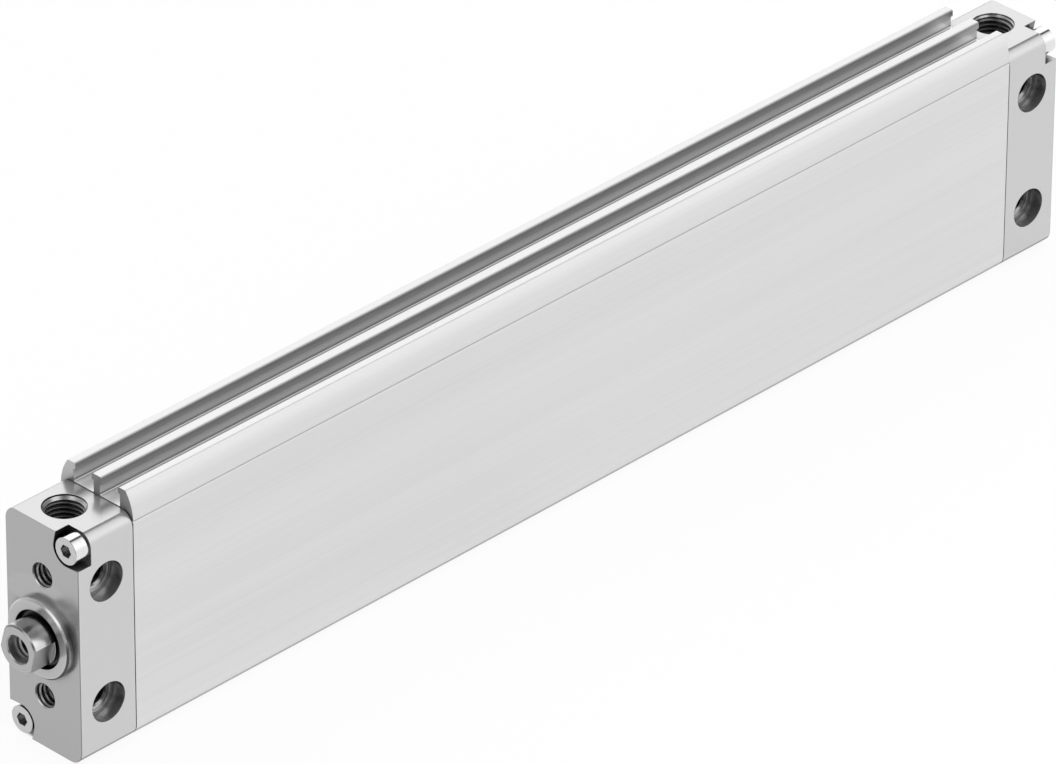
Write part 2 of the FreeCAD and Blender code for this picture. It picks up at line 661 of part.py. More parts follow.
def piston_nut():
    """Thin hexagon nut that clamps the piston halves on the rod."""
    rear = PISTON_REAR + NUT_COVER
    hole = along_x(STUD_RADIUS + STATIC_FIT, rear, rear + NUT_HEIGHT)
    return hexagon(NUT_KEY, rear, rear + NUT_HEIGHT).cut(hole)


PIECES = {
    "barrel": barrel,
    "front_cap": front_cap,
    "rear_cap": lambda: to_rear(cap_blank()),
    "front_cap_screws": front_screws,
    "rear_cap_screws": lambda: to_rear(front_screws()),
    "front_cap_seal": cap_seal,
    "rear_cap_seal": lambda: to_rear(cap_seal()),
    "front_buffer": front_buffer,
    "rear_buffer": lambda: to_rear(buffer_pad()),
    "rod_bush": rod_bush,
    "rod_seal": rod_seal,
    "rod_wiper": rod_wiper,
    "piston_rod": piston_rod,
    "piston_front_half": piston_front_half,
    "piston_rear_half": piston_rear_half,
    "piston_front_seal": piston_front_seal,
    "piston_rear_seal": piston_rear_seal,
    "piston_guide_band": piston_guide_band,
    "piston_magnets": lambda: Part.makeCompound(magnets(0)),
    "piston_washer": piston_washer,
    "piston_nut": piston_nut,
    "rod_ring": rod_ring,
}

os.makedirs("parts", exist_ok=True)
for name, make in PIECES.items():
    make().exportStep("parts/" + name + ".step")
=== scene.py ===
import math
from collections import namedtuple

import bmesh
import bpy
from mathutils import Matrix, Vector


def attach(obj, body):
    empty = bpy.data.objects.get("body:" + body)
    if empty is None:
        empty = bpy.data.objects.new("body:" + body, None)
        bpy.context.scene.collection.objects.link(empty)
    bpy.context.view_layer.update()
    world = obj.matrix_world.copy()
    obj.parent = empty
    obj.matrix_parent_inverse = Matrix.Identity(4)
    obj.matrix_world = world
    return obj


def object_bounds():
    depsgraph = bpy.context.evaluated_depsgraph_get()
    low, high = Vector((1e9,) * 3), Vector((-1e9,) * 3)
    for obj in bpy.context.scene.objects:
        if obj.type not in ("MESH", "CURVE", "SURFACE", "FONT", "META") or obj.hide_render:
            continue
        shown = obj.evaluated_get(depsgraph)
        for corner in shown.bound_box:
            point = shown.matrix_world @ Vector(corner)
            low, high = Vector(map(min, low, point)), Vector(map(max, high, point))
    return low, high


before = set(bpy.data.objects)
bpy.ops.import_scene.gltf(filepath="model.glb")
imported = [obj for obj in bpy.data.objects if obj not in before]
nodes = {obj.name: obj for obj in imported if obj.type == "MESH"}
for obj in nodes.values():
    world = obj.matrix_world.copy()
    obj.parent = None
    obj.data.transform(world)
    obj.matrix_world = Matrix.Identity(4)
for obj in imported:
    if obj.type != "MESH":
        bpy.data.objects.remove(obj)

cad_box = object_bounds()
box_middle = (cad_box[0] + cad_box[1]) / 2
MM = 0.001

# Places and sizes on the cylinder, in millimetres. X runs along it, to the front, and Z is up.
FRONT_X = 0.0
REAR_X = -322.7
MIDDLE_X = (FRONT_X + REAR_X) / 2
HALF_LENGTH = (FRONT_X - REAR_X) / 2
HALF_WIDTH = 11.7
CAP_TOP = 29.75
HOLE_X = 8.5
HOLE_Z = 16.0
PORT_Y = -1.5
BORE_FLOOR_Y = 7.6
BORE_SUNK_Y = BORE_FLOOR_Y + 0.2
BORE_RADIUS = 5.0
BORE_HOLE_RADIUS = 3.0
BORE_LIP_RADIUS = BORE_HOLE_RADIUS - 0.01
INNER_RING_RADIUS = BORE_HOLE_RADIUS + 0.75
CAP_FACE_X = FRONT_X - 0.05
COLLAR_RADIUS = 10.0
COLLAR_CHAMFER_RADIUS = COLLAR_RADIUS - 1.0
COLLAR_WALL = 1.55
RAISED_X = 0.5
SLOT_FLOOR_Z = 29.95
SLOT_FLOOR_STEP = 0.3
RAIL_TOP_Z = 34.85
RAIL_EDGE_Z = RAIL_TOP_Z - 0.35
RAIL_EDGE_FALL = (RAIL_TOP_Z - 0.08, RAIL_TOP_Z - 0.26)
SLOT_SPAN_Y = 8.0
ROD_RELIEF_X = 5.6
ROD_BORE_RADIUS = 3.45
ROD_SHOULDER_RADIUS = ROD_BORE_RADIUS + 0.2
FLAT_START_X = 2.0
FLAT_SHOULDER_X = FLAT_START_X + 0.5
FLAT_LENGTH = 5.0
FLAT_FACING = (0.0, 0.967, -0.254)
POCKET_Y = 4.2
POCKET_Z = 21.0
POCKET_START = 0.3
HEAD_LOW_Z = POCKET_Z + 1.5
HEAD_TOP_Z = POCKET_Z + 4.0

# Margins, in millimetres, that take in the whole of a flat surface, or of a round one with its flat facets.
FLAT_MARGIN = 0.02
ROUND_MARGIN = 0.05

# Tapped holes, in millimetres: major and minor radius, pitch, radius at the mouth, depth of the straight
# rim there, threaded depth, and the radius at which a cone leads in, or 0 where none does.
Thread = namedtuple("Thread", "major minor pitch mouth rim depth lead")
PORT_THREAD = Thread(4.864, 4.44, 1.2, 5.214, 0.45, 9.2, 4.58)
FACE_THREAD = Thread(3.0, 2.68, 1.3, 3.25, 0.0, 8.2, 0.0)
ROD_THREAD = Thread(3.0, 2.46, 1.0, 3.2, 0.0, 12.6, 0.0)

# The rear port's thread runs out into the cone at its mouth, and starts at this share of a turn.
REAR_PORT_THREAD = PORT_THREAD._replace(lead=0.0)
REAR_PORT_START = 0.323

# How deep a port's cone and mouth reach and how far a thread sinks into its wall, in millimetres,
# and half the width of a ridge at its foot and at its crest, as shares of the pitch.
PORT_LEAD_DEPTH = 1.1
PORT_MOUTH_DEPTH = 1.4
THREAD_SINK = 0.03
RIDGE_FOOT = 0.30
RIDGE_CREST = 0.08
STEPS_PER_TURN = 64
CREASE_ANGLE = math.radians(30)
WELD_DISTANCE = 1e-7

# How far a surface leans before it counts as an end face, a broken edge and so on:
# soft steps over one part of its normal, and four plain limits.
END_LEAN = (0.85, 0.97)
EDGE_LEAN = (0.35, 0.60)
SIDE_LEAN = (0.30, 0.60)
TOP_LEAN = (0.10, 0.35)
UNDER_LEAN = (0.30, 0.50)
BORE_FLOOR_LEAN = (0.80, 0.95)
SLOT_LEAN = (0.90, 0.98)
RAIL_EDGE_LEAN = (0.40, 0.55)
FLAT_LEAN = (0.995, 0.999)
FACE_LEAN = 0.9
SHOULDER_LEAN = 0.95
RIM_LEAN = 0.4
CONE_LEAN = 0.5

# Tones by share of the way: across a counterbore's floor from hole to wall, out along the collar's wall,
# up that wall from its lowest point to its highest, half around the collar's face from the near side
# over the top, up a slot's wall from its floor, and from a noise to the scratches in it. All but the
# scratches are painted light and shade; the counterbore's tones are the tool's rings with painted shade
# toward the wall.
BORED_STEPS = [
    (0.0, 0.75), (0.34, 0.80), (0.44, 0.36), (0.54, 0.80),
    (0.66, 0.80), (0.80, 0.22), (0.92, 0.55), (1.0, 0.20),
]
COLLAR_STEPS = [(0.0, 0.37), (0.25, 0.50), (0.50, 0.61), (0.90, 0.90), (1.0, 0.60)]
COLLAR_TURN = [(0.0, 1.2), (0.40, 1.2), (0.58, 0.5), (0.72, 0.5), (0.90, 1.5), (1.0, 1.55)]
COLLAR_FACE = [(0.0, 1.0), (0.06, 0.9), (0.14, 0.75), (0.18, 0.75), (0.22, 1.4), (0.36, 1.4), (0.45, 1.0)]
SLOT_STEPS = [(0.02, 0.375), (0.09, 0.525), (0.15, 1.075), (0.24, 1.15), (0.60, 0.775), (0.92, 0.55)]
SCRATCH_STEPS = [(0.70, 0.0), (0.78, 1.0)]

# Directions of the hairline scratches, and how far they are drawn out.
SCRATCHES = [((0.5, 0.3, 0.9), (60, 2600, 900)), ((1.1, 0.8, 2.2), (50, 1900, 1100))]

# Painted light and shade by side in the round holes: where one side passes into the other, by the share of
# the radius toward it, and how dark a port's cone gets on its darker side.
BORE_SIDE = (-0.85, -0.35)
INNER_RING_SIDE = (-0.92, -0.72)
CONE_SIDE = (0.6, 1.25)
RIM_SIDE = (-1.2, -0.5)
CONE_DARKEST = 0.35

# Painted light: how light the cap around the collar and the collar's face stay at least, and where, in
# millimetres:
# between these radii outside the collar, and above these heights.
COLLAR_LIFT = 1.05
COLLAR_FACE_LIFT = 0.8
COLLAR_LIFT_REACH = (2.0 * COLLAR_RADIUS, 1.5 * COLLAR_RADIUS)
COLLAR_LIFT_Z = (4.5, 7.5)

# Pairs of tones, from outside to inside the place that each one names, or from low to high. All but the fine
# tool rings' tones are painted light and shade.
BORED_FINE_TONES = (0.85, 1.15)
POCKET_TONES = (0.2, 1.1)
NOTCH_TONES = (0.25, 1.0)
BORE_SIDE_TONES = (1.05, 0.8)
INNER_RING_TONES = (1.0, 0.35)
REAR_CONE_TONES = (1.0, 0.9)
REAR_RIM_TONES = (0.4, 2.2)
SLOT_FLOOR_TONES = (1.0, 2.2)
RAIL_EDGE_DIMMING = (0.2, 0.72)
FLAT_DIMMING = (0.6, 0.25)

# Camera, as the photograph was taken: a long lens, from above the rod end.
VIEW_AZIMUTH = math.radians(134.36)
VIEW_ELEVATION = math.radians(31.65)
VIEW_ROLL = math.radians(0.32)
CAMERA_PLACE = (1.31946, 1.44083, 1.26970)
CAMERA_LENS = 355.92
SENSOR_WIDTH = 36
VIEW_DEPTH = 50


def new_object(name, data):
    made = bpy.data.objects.new(name, data)
    bpy.context.scene.collection.objects.link(made)
    return made


def new_piece(name, shape, finish):
    mesh = bpy.data.meshes.new(name)
    shape.to_mesh(mesh)
    shape.free()
    mesh.materials.append(finish)
    return new_object(name, mesh)


def set_camera():
    level = math.cos(VIEW_ELEVATION)
    back = Vector((math.sin(VIEW_AZIMUTH) * level, -math.cos(VIEW_AZIMUTH) * level, math.sin(VIEW_ELEVATION)))
    right = Vector((0, 0, 1)).cross(back).normalized()
    up = back.cross(right)
    turn = Matrix((right, up, back)).transposed().to_4x4()
    data = bpy.data.cameras.new("photo_camera")
    data.sensor_width = SENSOR_WIDTH
    data.lens = CAMERA_LENS
    data.clip_end = VIEW_DEPTH
    camera = new_object("photo_camera", data)
    camera.matrix_world = Matrix.Translation(CAMERA_PLACE) @ turn @ Matrix.Rotation(VIEW_ROLL, 4, "Z")
    bpy.context.scene.camera = camera


# Node helpers.
def add(tree, kind, **settings):
    made = tree.nodes.new(kind)
    for name, value in settings.items():
        setattr(made, name, value)
    return made


def join(tree, source, target):
    tree.links.new(source, target)


def feed(tree, value, target):
    """Links a value to a socket or, where it is a plain number or vector, sets it there."""
    if isinstance(value, bpy.types.NodeSocket):
        join(tree, value, target)
    else:
        target.default_value = value


def math_node(tree, operation, *values):
    made = add(tree, "ShaderNodeMath", operation=operation)
    for value, target in zip(values, made.inputs):
        feed(tree, value, target)
    return made.outputs[0]


def product(tree, first, *others):
    for other in others:
        first = math_node(tree, "MULTIPLY", first, other)
    return first


def inverse(tree, mask):
    return math_node(tree, "SUBTRACT", 1.0, mask)


def size_of(tree, value):
    return math_node(tree, "ABSOLUTE", value)


def more(tree, value, limit):
    """Where a length is over a limit in millimetres."""
    return math_node(tree, "GREATER_THAN", value, limit * MM)


def less(tree, value, limit):
    """Where a length is under a limit in millimetres."""
    return math_node(tree, "LESS_THAN", value, limit * MM)


def ramp(tree, source, stops):
    made = add(tree, "ShaderNodeValToRGB")
    points = made.color_ramp.elements
    while len(points) < len(stops):
        points.new(0.5)
    for point, (place, tone) in zip(points, stops):
        point.position = place
        point.color = (tone, tone, tone, 1)
    join(tree, source, made.inputs["Fac"])
    return made.outputs["Color"]


def map_range(tree, source, interpolation="LINEAR", **limits):
    made = add(tree, "ShaderNodeMapRange", interpolation_type=interpolation)
    for label, value in limits.items():
        feed(tree, value, made.inputs[label.replace("_", " ")])
    join(tree, source, made.inputs["Value"])
    return made.outputs["Result"]


def soft_step(tree, source, low, high):
    """Rises softly from 0 at low to 1 at high."""
    return map_range(tree, source, "SMOOTHSTEP", From_Min=low, From_Max=high)


def length_step(tree, source, low, high):
    """A soft step over a length, between two limits in millimetres."""
    return soft_step(tree, source, low * MM, high * MM)


def spread(tree, source, low, high):
    """The middle half of a noise, drawn out from low to high."""
    return map_range(tree, source, From_Min=0.25, From_Max=0.75, To_Min=low, To_Max=high)


def between(tree, mask, low, high):
    return map_range(tree, mask, To_Min=low, To_Max=high)


def mix_values(tree, mask, first, second):
    made = add(tree, "ShaderNodeMix", data_type="FLOAT")
    join(tree, mask, made.inputs["Factor"])
    feed(tree, first, made.inputs["A"])
    feed(tree, second, made.inputs["B"])
    return made.outputs["Result"]


def noise(tree, source, scale=1.0, detail=2.0, rough=0.5, along_line=False):
    made = add(tree, "ShaderNodeTexNoise", noise_dimensions="1D" if along_line else "3D")
    feed(tree, scale, made.inputs["Scale"])
    made.inputs["Detail"].default_value = detail
    made.inputs["Roughness"].default_value = rough
    join(tree, source, made.inputs["W" if along_line else "Vector"])
    return made.outputs["Fac"]


def split(tree, vector):
    made = add(tree, "ShaderNodeSeparateXYZ")
    join(tree, vector, made.inputs[0])
    return made.outputs


def toward(tree, vector, direction):
    """How far a vector points in a direction."""
    made = add(tree, "ShaderNodeVectorMath", operation="DOT_PRODUCT")
    made.inputs[1].default_value = direction
    join(tree, vector, made.inputs[0])
    return made.outputs["Value"]


def place_on_piece(tree):
    return add(tree, "ShaderNodeTexCoord").outputs["Object"]


def surface_facing(tree):
    return add(tree, "ShaderNodeTexCoord").outputs["Normal"]


def distance(tree, first, second):
    squares = [math_node(tree, "MULTIPLY", value, value) for value in (first, second)]
    return math_node(tree, "SQRT", math_node(tree, "ADD", *squares))


def from_middle(tree, place):
    """Distance along the cylinder from its middle."""
    return size_of(tree, math_node(tree, "SUBTRACT", place, MIDDLE_X * MM))


def from_nearer(tree, place, middle, one_side):
    """Distance along one direction from the nearer of two axes that lie alike on both sides of a middle."""
    offset = math_node(tree, "SUBTRACT", place, middle * MM)
    beyond = math_node(tree, "SUBTRACT", size_of(tree, offset), (one_side - middle) * MM)
    return product(tree, beyond, math_node(tree, "SIGN", offset))


def new_group(name, **inputs):
    tree = bpy.data.node_groups.new(name, "ShaderNodeTree")
    for label, default in inputs.items():
        kind = "NodeSocketVector" if isinstance(default, tuple) else "NodeSocketFloat"
        socket = tree.interface.new_socket(name=label.replace("_", " "), in_out="INPUT", socket_type=kind)
        socket.default_value = default
    return tree, add(tree, "NodeGroupInput").outputs


def hand_out(tree, **results):
    """Closes a group: every result leaves it under its own name."""
    names = {label: label.replace("_", " ") for label in results}
    for label, name in names.items():
        kind = "NodeSocketVector" if label == "Normal" else "NodeSocketFloat"
        tree.interface.new_socket(name=name, in_out="OUTPUT", socket_type=kind)
    out = add(tree, "NodeGroupOutput")
    for label, name in names.items():
        join(tree, results[label], out.inputs[name])
    return tree


# Shared surface effects.
def drawn_lines_group():
    """Fine lines drawn out along one direction, as an extrusion die or a cutter leaves them."""
    tree, given = new_group(
        "drawn_lines", Fine=(6.0, 1500.0, 1500.0), Broad=(1.5, 190.0, 190.0), Fine_Share=0.55,
    )
    place = place_on_piece(tree)
    patterns = {}
    for label in ("Fine", "Broad"):
        stretch = add(tree, "ShaderNodeVectorMath", operation="MULTIPLY")
        join(tree, place, stretch.inputs[0])
        join(tree, given[label], stretch.inputs[1])
        patterns[label] = noise(tree, stretch.outputs[0], detail=3.0, rough=0.6)
    lines = mix_values(tree, given["Fine Share"], patterns["Broad"], patterns["Fine"])
    return hand_out(tree, Lines=lines, Bands=patterns["Broad"])


def handling_group():
    """Faint smudges and hairline scratches from handling."""
    tree, given = new_group("handling_marks", Smudge_Size=35.0, Scratch_Amount=0.5)
    place = place_on_piece(tree)
    smudge = noise(tree, place, given["Smudge Size"], detail=5.0, rough=0.55)
    hairs = []
    for turn, stretch in SCRATCHES:
        mapping = add(tree, "ShaderNodeMapping")
        mapping.inputs["Rotation"].default_value = turn
        mapping.inputs["Scale"].default_value = stretch
        join(tree, place, mapping.inputs["Vector"])
        hair = noise(tree, mapping.outputs["Vector"], detail=1.0)
        hairs.append(ramp(tree, hair, SCRATCH_STEPS))
    scratch = product(tree, math_node(tree, "MAXIMUM", *hairs), given["Scratch Amount"])
    return hand_out(tree, Smudge=smudge, Scratch=scratch)


def soft_corners_group():
    """Normals that round the corners softly."""
    tree, given = new_group("soft_corners", Radius=0.00015)
    rounded = add(tree, "ShaderNodeBevel", samples=6)
    join(tree, given["Radius"], rounded.inputs["Radius"])
    return hand_out(tree, Normal=rounded.outputs["Normal"])


def turned_rings_group():
    """Turned rings about the rod's axis."""
    tree, given = new_group("turned_rings", Fineness=2200.0)
    spot = split(tree, place_on_piece(tree))
    radius = distance(tree, spot["Y"], spot["Z"])
    return hand_out(tree, Rings=noise(tree, product(tree, radius, given["Fineness"]), along_line=True))


def satin_grain_group():
    """Satin grain of a blasted and anodised surface, too fine to see from afar."""
    tree, given = new_group("satin_grain", Fineness=5000.0)
    return hand_out(tree, Grain=noise(tree, place_on_piece(tree), given["Fineness"]))


def recess_group():
    """Painted shade by how open a place is: holes, grooves and inner corners come out dark."""
    tree, given = new_group("recess_shade", Reach=0.006, Closed=0.1, Clear=0.9, Darkest=0.12)
    around = add(tree, "ShaderNodeAmbientOcclusion", samples=12)
    join(tree, given["Reach"], around.inputs["Distance"])
    opened = map_range(
        tree, around.outputs["AO"], "SMOOTHSTEP",
        From_Min=given["Closed"], From_Max=given["Clear"], To_Min=given["Darkest"],
    )
    return hand_out(tree, Open=opened)


def end_faces_group():
    """End faces, the broken edges beside them, undersides, and the bore and shoulder of the rod's end."""
    tree, given = new_group("end_faces", Facing=(0.0, 0.0, 1.0))
    spot = split(tree, place_on_piece(tree))
    facing = split(tree, given["Facing"])
    lengthwise = size_of(tree, facing["X"])
    end = soft_step(tree, lengthwise, *END_LEAN)
    edge = math_node(tree, "SUBTRACT", soft_step(tree, lengthwise, *EDGE_LEAN), end)
    sideways = soft_step(tree, size_of(tree, facing["Y"]), *SIDE_LEAN)
    upward = soft_step(tree, facing["Z"], *TOP_LEAN)
    downward = product(tree, facing["Z"], -1.0)
    radius = distance(tree, spot["Y"], spot["Z"])
    return hand_out(
        tree,
        End=end,
        Edge=edge,
        Side_Edge=product(tree, edge, sideways, inverse(tree, upward)),
        Under=soft_step(tree, downward, *UNDER_LEAN),
        Raised=more(tree, spot["X"], RAISED_X),
        Bore=product(tree, less(tree, radius, ROD_BORE_RADIUS), inverse(tree, edge)),
        Shoulder=product(tree, end, more(tree, radius, ROD_SHOULDER_RADIUS)),
    )


def screw_pockets_group():
    """Painted shade and light in the pockets for the cap screws: dark above the head, paler below it, light
    where the notch is open.
    """
    tree, _ = new_group("screw_pockets")
    spot = split(tree, place_on_piece(tree))
    facing = split(tree, surface_facing(tree))
    end = soft_step(tree, size_of(tree, facing["X"]), *END_LEAN)
    outward = product(tree, spot["Y"], math_node(tree, "SIGN", spot["Z"]))
    height = size_of(tree, spot["Z"])
    corner = product(tree, more(tree, outward, POCKET_Y), more(tree, height, POCKET_Z))
    behind_face = less(tree, from_middle(tree, spot["X"]), HALF_LENGTH - POCKET_START)
    below_head = length_step(tree, height, HEAD_TOP_Z, HEAD_LOW_Z)
    rear_opening = product(tree, less(tree, spot["X"], MIDDLE_X), more(tree, spot["Z"], HEAD_TOP_Z))
    return hand_out(
        tree,
        Sunk=product(tree, end, behind_face, corner),
        Sunk_Light=between(tree, below_head, *POCKET_TONES),
        Notch=product(tree, corner, between(tree, rear_opening, *NOTCH_TONES)),
    )


def bored_rings_group():
    """The counterbores of the side holes, and the rings that the tool leaves on their floors, with painted
    shade toward the wall and on the inner ring, and painted light and shade by side.
    """
    tree, given = new_group("bored_rings", Fineness=3200.0)
    spot = split(tree, place_on_piece(tree))
    facing = split(tree, surface_facing(tree))
    across = from_nearer(tree, spot["X"], MIDDLE_X, FRONT_X - HOLE_X)
    upward = from_nearer(tree, spot["Z"], 0.0, HOLE_Z)
    radius = distance(tree, across, upward)
    fine = noise(tree, product(tree, radius, given["Fineness"]), detail=1.0, along_line=True)
    from_hole = math_node(tree, "SUBTRACT", radius, BORE_HOLE_RADIUS * MM)
    share = math_node(tree, "DIVIDE", from_hole, (BORE_RADIUS - BORE_HOLE_RADIUS) * MM)
    sunk = less(tree, spot["Y"], BORE_SUNK_Y)
    near_side = more(tree, spot["Y"], BORE_FLOOR_Y - FLAT_MARGIN)
    inside = product(tree, less(tree, radius, BORE_RADIUS + ROUND_MARGIN), near_side)
    inner_ring = product(tree, less(tree, radius, INNER_RING_RADIUS), sunk)
    side = math_node(tree, "DIVIDE", upward, radius)
    bore_tone = between(tree, soft_step(tree, side, *BORE_SIDE), *BORE_SIDE_TONES)
    bore_tone = mix_values(tree, inside, 1.0, bore_tone)
    ring_tone = between(tree, soft_step(tree, side, *INNER_RING_SIDE), *INNER_RING_TONES)
    ring_tone = mix_values(tree, inner_ring, 1.0, ring_tone)
    return hand_out(
        tree,
        Rings=product(tree, ramp(tree, share, BORED_STEPS), spread(tree, fine, *BORED_FINE_TONES)),
        Floor=product(tree, soft_step(tree, facing["Y"], *BORE_FLOOR_LEAN), sunk),
        Inside=inside,
        Lip=product(tree, less(tree, radius, BORE_LIP_RADIUS), sunk),
        Light=product(tree, bore_tone, ring_tone),
    )


def collar_group():
    """The collar's wall, dark where it stands on the cap, its face, and the lighter cap above it: all painted
    shade and painted light.
    """
    tree, _ = new_group("collar_wall")
    spot = split(tree, place_on_piece(tree))
    facing = split(tree, surface_facing(tree))
    radius = distance(tree, spot["Y"], spot["Z"])
    outer = more(tree, radius, COLLAR_RADIUS - ROUND_MARGIN)
    wall = product(tree, outer, more(tree, spot["X"], FRONT_X + FLAT_MARGIN))
    from_cap = math_node(tree, "DIVIDE", spot["X"], COLLAR_WALL * MM)
    height = math_node(tree, "DIVIDE", spot["Z"], 2 * COLLAR_RADIUS * MM)
    height = math_node(tree, "ADD", height, 0.5)
    wall_tone = product(tree, ramp(tree, from_cap, COLLAR_STEPS), ramp(tree, height, COLLAR_TURN))
    forward = math_node(tree, "GREATER_THAN", facing["X"], FACE_LEAN)
    face = product(tree, forward, more(tree, spot["X"], COLLAR_WALL))
    turn = math_node(tree, "ARCTAN2", spot["Z"], spot["Y"])
    face_tone = ramp(tree, math_node(tree, "DIVIDE", turn, math.pi), COLLAR_FACE)
    around = product(tree, more(tree, radius, COLLAR_CHAMFER_RADIUS), more(tree, spot["X"], CAP_FACE_X))
    beside = length_step(tree, radius, *COLLAR_LIFT_REACH)
    lifted = mix_values(tree, face, product(tree, around, beside), COLLAR_FACE_LIFT)
    return hand_out(
        tree,
        Light=mix_values(tree, face, mix_values(tree, wall, 1.0, wall_tone), face_tone),
        Lifted=product(tree, lifted, length_step(tree, spot["Z"], *COLLAR_LIFT_Z)),
    )


def port_mouths_group():
    """The ports' mouths: a straight rim, and a lead-in cone that is darker on one side; this is painted
    shade, and the rear port's rim is painted lighter.
    """
    tree, _ = new_group("port_mouth")
    spot = split(tree, place_on_piece(tree))
    facing = split(tree, surface_facing(tree))
    across = from_nearer(tree, spot["X"], MIDDLE_X, FRONT_X - HOLE_X)
    aside = math_node(tree, "SUBTRACT", spot["Y"], PORT_Y * MM)
    radius = distance(tree, across, aside)
    near_top = more(tree, spot["Z"], CAP_TOP - PORT_MOUTH_DEPTH)
    mouth = product(tree, less(tree, radius, PORT_THREAD.mouth + THREAD_SINK), near_top)
    side = math_node(tree, "DIVIDE", math_node(tree, "SUBTRACT", across, aside), radius)
    rear = less(tree, spot["X"], MIDDLE_X)
    cone_side = soft_step(tree, side, *CONE_SIDE)
    cone = math_node(tree, "SUBTRACT", between(tree, rear, *REAR_CONE_TONES), cone_side)
    cone = math_node(tree, "MAXIMUM", cone, CONE_DARKEST)
    upright = math_node(tree, "LESS_THAN", size_of(tree, facing["Z"]), RIM_LEAN)
    high = more(tree, spot["Z"], CAP_TOP - PORT_THREAD.rim - FLAT_MARGIN)
    rim = product(tree, upright, soft_step(tree, side, *RIM_SIDE), high)
    rim_tone = mix_values(tree, rim, 1.0, between(tree, rear, *REAR_RIM_TONES))
    sloping = math_node(tree, "GREATER_THAN", facing["Z"], CONE_LEAN)
    return hand_out(
        tree,
        Light=mix_values(tree, mouth, 1.0, product(tree, cone, rim_tone)),
        Lead=product(tree, sloping, more(tree, spot["Z"], CAP_TOP - PORT_LEAD_DEPTH)),
    )


def slot_light_group():
    """Painted light and shade in the sensor slots: walls darkest under the rail's edge, light floors, greyer
    rail edges.
    """
    tree, _ = new_group("slot_light")
    spot = split(tree, place_on_piece(tree))
    facing = split(tree, surface_facing(tree))
    height = math_node(tree, "SUBTRACT", spot["Z"], SLOT_FLOOR_Z * MM)
    share = math_node(tree, "DIVIDE", height, (RAIL_TOP_Z - SLOT_FLOOR_Z) * MM)
    within = less(tree, size_of(tree, spot["Y"]), SLOT_SPAN_Y)
    upright = soft_step(tree, size_of(tree, facing["Y"]), *SLOT_LEAN)
    wall = product(tree, upright, within, more(tree, height, 0.0))
    wall_tone = mix_values(tree, wall, 1.0, ramp(tree, share, SLOT_STEPS))
    level = soft_step(tree, facing["Z"], *SLOT_LEAN)
    floor = product(tree, level, within, less(tree, size_of(tree, height), SLOT_FLOOR_STEP))
    slope = math_node(tree, "SUBTRACT", soft_step(tree, facing["Y"], *RAIL_EDGE_LEAN), upright)
    rail_edge = product(tree, slope, within, more(tree, spot["Z"], RAIL_EDGE_Z))
    fall = length_step(tree, spot["Z"], *RAIL_EDGE_FALL)
    dimmed = product(tree, rail_edge, between(tree, fall, *RAIL_EDGE_DIMMING))
    floor_tone = between(tree, floor, *SLOT_FLOOR_TONES)
    return hand_out(tree, Light=product(tree, wall_tone, floor_tone, inverse(tree, dimmed)))


def spanner_flats_group():
    """The spanner flats at the rod's end, with painted shade that deepens toward the shoulder where they
    begin, and that shoulder painted lighter.
    """
    tree, given = new_group("spanner_flats", Shoulder=1.0)
    spot = split(tree, place_on_piece(tree))
    normal = surface_facing(tree)
    level = soft_step(tree, size_of(tree, toward(tree, normal, FLAT_FACING)), *FLAT_LEAN)
    flat = product(tree, level, more(tree, spot["X"], FLAT_START_X - FLAT_MARGIN))
    from_shoulder = length_step(tree, spot["X"], FLAT_START_X, FLAT_START_X + FLAT_LENGTH)
    dimmed = product(tree, flat, between(tree, from_shoulder, *FLAT_DIMMING))
    forward = math_node(tree, "GREATER_THAN", split(tree, normal)["X"], SHOULDER_LEAN)
    shoulder = product(tree, forward, less(tree, spot["X"], FLAT_SHOULDER_X))
    shoulder_tone = mix_values(tree, shoulder, 1.0, given["Shoulder"])
    return hand_out(tree, Flat=flat, Light=math_node(tree, "SUBTRACT", shoulder_tone, dimmed))


EFFECTS = {
    "grain": satin_grain_group(),
    "bored": bored_rings_group(),
    "collar": collar_group(),
    "mouths": port_mouths_group(),
    "pockets": screw_pockets_group(),
    "flats": spanner_flats_group(),
    "slots": slot_light_group(),
    "recess": recess_group(),
    "ends": end_faces_group(),
    "lines": drawn_lines_group(),
    "handling": handling_group(),
    "corners": soft_corners_group(),
    "rings": turned_rings_group(),
}


# Finishes.
def effect(tree, name, **values):
    made = add(tree, "ShaderNodeGroup", node_tree=EFFECTS[name])
    for label, value in values.items():
        feed(tree, value, made.inputs[label.replace("_", " ")])
    return made.outputs


def new_finish(name, **constants):
    finish = bpy.data.materials.new(name)
    finish.use_nodes = True
    tree = finish.node_tree
    shader = tree.nodes["Principled BSDF"]
    for label, value in constants.items():
        shader.inputs[label.replace("_", " ")].default_value = value
    return finish, tree, shader


def paint(tone):
    """A colour; a single number makes a grey."""
    return (tone, tone, tone, 1) if isinstance(tone, float) else (*tone, 1)


def tint(tree, dark, pale, source, low=0.3, high=0.7):
    made = add(tree, "ShaderNodeValToRGB")
    for point, place, tone in zip(made.color_ramp.elements, (low, high), (dark, pale)):
        point.position = place
        point.color = paint(tone)
    join(tree, source, made.inputs["Fac"])
    return made.outputs["Color"]


def blend(tree, mask, first, second):
    made = add(tree, "ShaderNodeMix", data_type="RGBA")
    join(tree, mask, made.inputs["Factor"])
    join(tree, first, made.inputs["A"])
    join(tree, second, made.inputs["B"])
    return made.outputs["Result"]


def shade(tree, colour, *factors):
    for factor in factors:
        made = add(tree, "ShaderNodeMix", data_type="RGBA", blend_type="MULTIPLY")
        made.inputs["Factor"].default_value = 1.0
        join(tree, colour, made.inputs["A"])
        join(tree, factor, made.inputs["B"])
        colour = made.outputs["Result"]
    return colour


